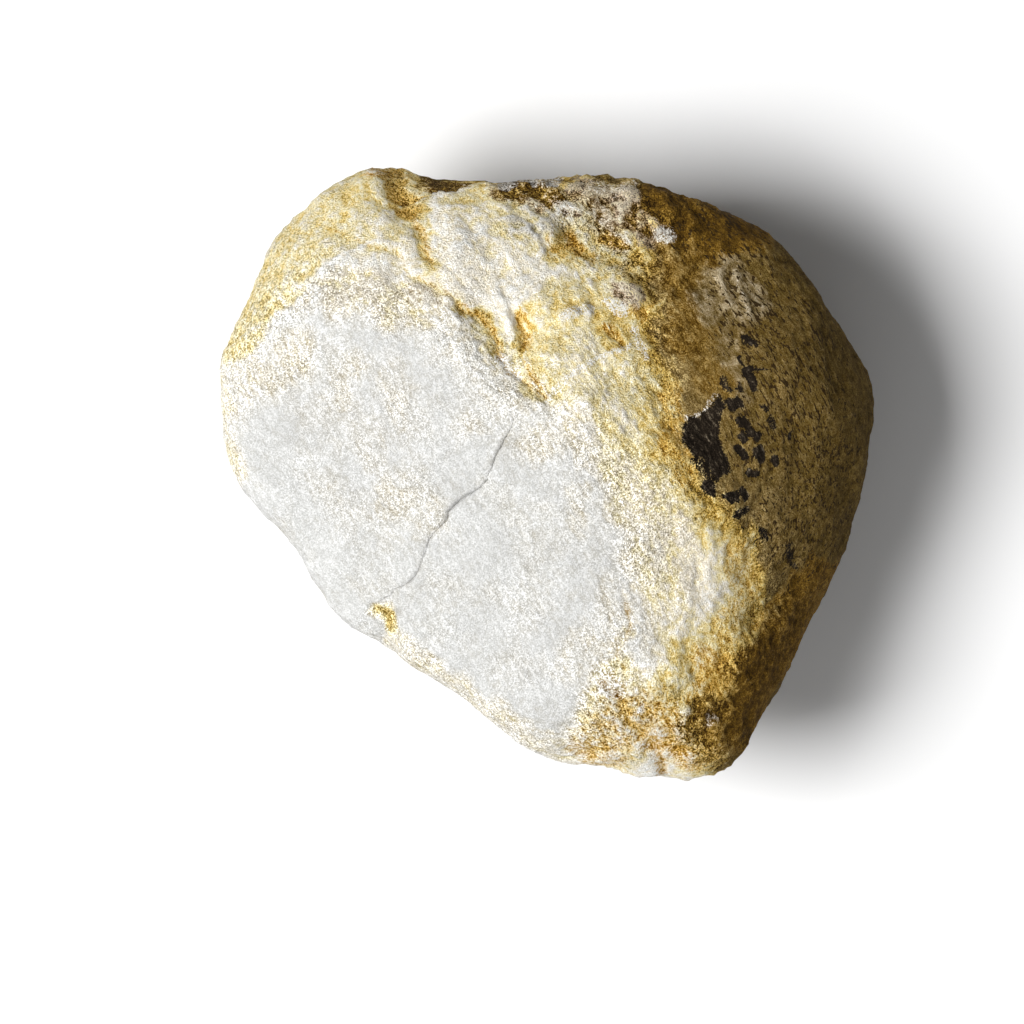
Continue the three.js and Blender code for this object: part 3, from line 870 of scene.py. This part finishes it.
def shown(g, field, low, high, pattern, share):
    """How strongly a stain shows: its field, broken up by a share of a pattern."""
    return g.step(g.math("MULTIPLY", field, g.total(1.0, (pattern, share))), low, high)


def ground_colour(g, fields, mottle):
    """The chalk with its ochre tint, and the weathered skin over it, with painted shade
    darkening the skin where its side turns sharply away.
    """
    swing = g.math("MULTIPLY_ADD", fields["ochre"], 0.44, 0.10)
    level = g.total((fields["ochre"], 0.65), g.math("MULTIPLY", mottle, swing))
    # Painted shade: the skin gets darker where its side turns sharply away from facing up.
    skin_level = g.total(0.42, (g.attribute("steep_shade"), 0.40), (mottle, 0.40),
                         (fields["ochre"], -0.30))
    skin = shown(g, fields["cortex"], 0.15, 0.75, mottle, 0.5)
    return g.mix(skin, g.ramp(level, OCHRE_TONES), g.ramp(skin_level, SKIN_TONES))


def stained_colour(g, fields, patterns, black):
    """The ground with each stain, and the painted shade among them, laid over the one before."""
    mottle, woven, fine = patterns["mottle"], patterns["woven"], patterns["fine"]
    colour = ground_colour(g, fields, mottle)
    dust_and_shade = g.ramp(g.total(0.4, (mottle, 0.7)), DUST_AND_SHADE_TONES)
    colour = g.mix(shown(g, fields["dust_and_shade"], 0.15, 0.8, mottle, -1.0), colour, dust_and_shade)
    grey_and_shade = g.ramp(g.total(0.35, (mottle, 1.1)), GREY_AND_SHADE_TONES)
    colour = g.mix(shown(g, fields["grey_and_shade"], 0.2, 0.7, woven, 1.5), colour, grey_and_shade)
    rust = g.ramp(g.total((fields["rust"], 0.9), (woven, 0.4)), RUST_TONES)
    colour = g.mix(shown(g, fields["rust"], 0.15, 0.6, woven, 1.0), colour, rust)
    umber_and_shade = g.ramp(g.total((fields["umber_and_shade"], 0.5), (woven, 0.6)), UMBER_AND_SHADE_TONES)
    colour = g.mix(shown(g, fields["umber_and_shade"], 0.15, 0.7, woven, 0.8), colour, umber_and_shade)
    colour = g.mix(shown(g, fields["white"], 0.3, 0.7, fine, -1.2), colour, WHITE_TONE)
    flecks = g.step(g.total(patterns["flecks"], (fields["specks"], 0.33)), 0.35, 0.43)
    specks = g.math("MULTIPLY", flecks, g.step(fields["specks"], 0, 0.3))
    colour = g.mix(specks, colour, SPECK_TONE)
    patch = g.ramp(g.total(0.5, (fine, 0.3), (patterns["strands"], 0.9)), BLACK_TONES)
    return g.mix(black, colour, patch)


def grained_colour(g, colour, fields, patterns, black, contrast):
    """A colour made richer and poorer, and lighter and darker, from grain to grain, with painted
    shade in the hollows and the pale face painted darker where the key light falls squarely.
    """
    fine = patterns["fine"]
    spread = g.total(0.9, (fields["cortex"], -0.5), (black, -0.4), (fields["umber_and_shade"], -0.3))
    richness = g.math("MULTIPLY_ADD", fine, spread, 1.0)
    colour = g.add("ShaderNodeGamma", {"Color": colour, "Gamma": richness})
    shade = g.total(1.0, (g.math("MULTIPLY", fine, contrast), -0.62),
                    # Painted shade: the hollow term darkens the sunken places.
                    (g.attribute("hollow"), -0.15), (patterns["broad"], -0.1),
                    # The face term paints the pale face darker, offsetting the key light that falls
                    # most squarely there.
                    (g.attribute("face"), -0.53), (contrast, 0.08))
    red = g.add("ShaderNodeSeparateColor", {"Color": colour}, "Red")
    brightest = g.math("DIVIDE", 0.97, red)
    shade = g.math("MINIMUM", g.math("MAXIMUM", shade, 0.2), brightest)
    return g.add("ShaderNodeVectorMath", {0: colour, "Scale": shade}, operation="SCALE")


def stone_material():
    """Matt chalk, skin and stains with some painted shade, with a fine crust."""
    g = Graph("chalky_stone")
    fields = {name: g.attribute(name) for name in (*STAINS, "cortex")}
    contrast = g.attribute("contrast")
    patterns = stone_patterns(g)
    black = shown(g, fields["black"], 0.42, 0.60, patterns["fine"], 0.6)
    colour = stained_colour(g, fields, patterns, black)
    colour = grained_colour(g, colour, fields, patterns, black, contrast)
    raised = g.total((patterns["fine"], -0.22), (patterns["spots"], -0.12))
    crust = g.total(0.3, (contrast, 0.45), (fields["cortex"], 0.35))
    bump = g.add("ShaderNodeBump", {"Height": g.math("MULTIPLY", raised, crust),
                                    "Strength": 1.0, "Distance": MM})
    surface = g.add("ShaderNodeBsdfPrincipled",
                    {"Base Color": colour, "Roughness": 0.9, "Normal": bump,
                     "Specular IOR Level": 0.06})
    g.add("ShaderNodeOutputMaterial", {"Surface": surface})
    return g.material


# ------------------------------------------------------------------ objects


def set_attribute(mesh, name, values):
    """Keep a number or a vector on each point of a mesh."""
    kind, key = ("FLOAT", "value") if values.ndim == 1 else ("FLOAT_VECTOR", "vector")
    mesh.attributes.new(name, kind, "POINT").data.foreach_set(key, values.ravel())


def carve(points, edges, normals, seen, rough):
    """The points moved by the relief, with the foot kept flat, and how deep each lies."""
    standing = smoothstep(points[:, 2], FOOT_HEIGHT, FOOT_FADE)
    carved = points + (relief(points, normals, seen, rough) * standing)[:, None] * normals
    carved[:, 2] = np.where(points[:, 2] < FOOT_HEIGHT, 0, np.maximum(carved[:, 2], 0))
    sunk = np.einsum("ij,ij->i", smoothed(carved, edges, 5) - carved, normals)
    return carved, np.clip(2.5 * sunk, -0.5, 0.5)


def surface_fields(points, normals, seen, rough):
    """All that the material reads from the points, but for their hollows."""
    fields = stain_fields(points, normals, seen)
    contrast = np.clip(0.15 + 3.6 * fields["ochre"] + 2.0 * rough, 0.2, 4.0)
    contrast *= (1 - 0.65 * fields["cortex"]) * (1 + 0.4 * fractal(points, 8, 101, 2))
    # The pale face, whose chalk the material paints darker where the key light falls most squarely.
    face = smoothstep(region_depth(seen, PALE_FACE), -15, 2) * upper_share(points, normals)
    # How far each point's side turns from facing up; the material paints shade on the skin with it.
    steep_shade = np.clip(1 - normals[:, 2], 0, 1)
    return {**fields, "contrast": contrast, "face": face, "steep_shade": steep_shade,
            "fibres": along_fibres(points)}


def linked_object(name, data):
    """A new object of the scene."""
    made = bpy.data.objects.new(name, data)
    bpy.context.scene.collection.objects.link(made)
    return made


def carved_stone():
    """The stone, with its fields on its points."""
    points, triangles, edges, normals = base_mesh()
    seen = mark_places(points, normals)
    rough = roughness(points, normals, seen)
    carved, hollow = carve(points, edges, normals, seen, rough)
    mesh = bpy.data.meshes.new("geode_stone")
    mesh.from_pydata(carved * MM, [], triangles.tolist())
    mesh.shade_smooth()
    set_attribute(mesh, "hollow", hollow)
    for name, values in surface_fields(points, normals, seen, rough).items():
        set_attribute(mesh, name, values)
    mesh.materials.append(stone_material())
    return linked_object("geode_stone", mesh)


def pale_floor():
    """A plain matt floor under the stone."""
    mesh = bpy.data.meshes.new("floor")
    half = FLOOR_HALF_WIDTH * MM
    corners = [(-half, -half, 0), (half, -half, 0), (half, half, 0), (-half, half, 0)]
    mesh.from_pydata(corners, [], [(0, 1, 2, 3)])
    g = Graph("pale_floor")
    surface = g.add("ShaderNodeBsdfPrincipled",
                    {"Base Color": (FLOOR_TONE,) * 3, "Roughness": 0.9, "Specular IOR Level": 0.0})
    g.add("ShaderNodeOutputMaterial", {"Surface": surface})
    mesh.materials.append(g.material)
    return linked_object("floor", mesh)


def add_light(name, towards, distance, size, strength):
    """A square light whose full face gives a white surface the brightness strength."""
    light = bpy.data.lights.new(name, "AREA")
    light.size = size
    light.energy = strength * math.pi**2 * distance**2
    away = Vector(towards).normalized()
    lamp = linked_object(name, light)
    lamp.location = Vector((0, 0, SEEN_HEIGHT * MM)) + away * distance
    lamp.rotation_euler = away.to_track_quat("Z", "Y").to_euler()


def add_camera():
    """A camera straight above the stone that looks down."""
    camera = bpy.data.cameras.new("camera")
    camera.sensor_width = SENSOR
    camera.lens = SENSOR * (EYE[2] - SEEN_HEIGHT) / FRAME_WIDTH
    viewer = linked_object("camera", camera)
    viewer.location = EYE * MM
    bpy.context.scene.camera = viewer


def light_scene():
    """A soft key light, a weak fill and a pale surrounding; distances here are in metres."""
    add_light("key", towards=(-0.52, -0.08, 0.85), distance=1.0, size=0.45, strength=1.80)
    add_light("fill", towards=(-0.20, -0.80, 0.55), distance=1.0, size=0.8, strength=0.25)
    world = bpy.data.worlds.new("studio")
    world.use_nodes = True
    background = world.node_tree.nodes["Background"]
    background.inputs["Color"].default_value = (1, 1, 1, 1)
    background.inputs["Strength"].default_value = WORLD_LIGHT
    bpy.context.scene.world = world
    bpy.context.scene.view_settings.view_transform = "Standard"


stone = carved_stone()
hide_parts("geode")
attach(stone, "root")
pale_floor()
add_camera()
light_scene()
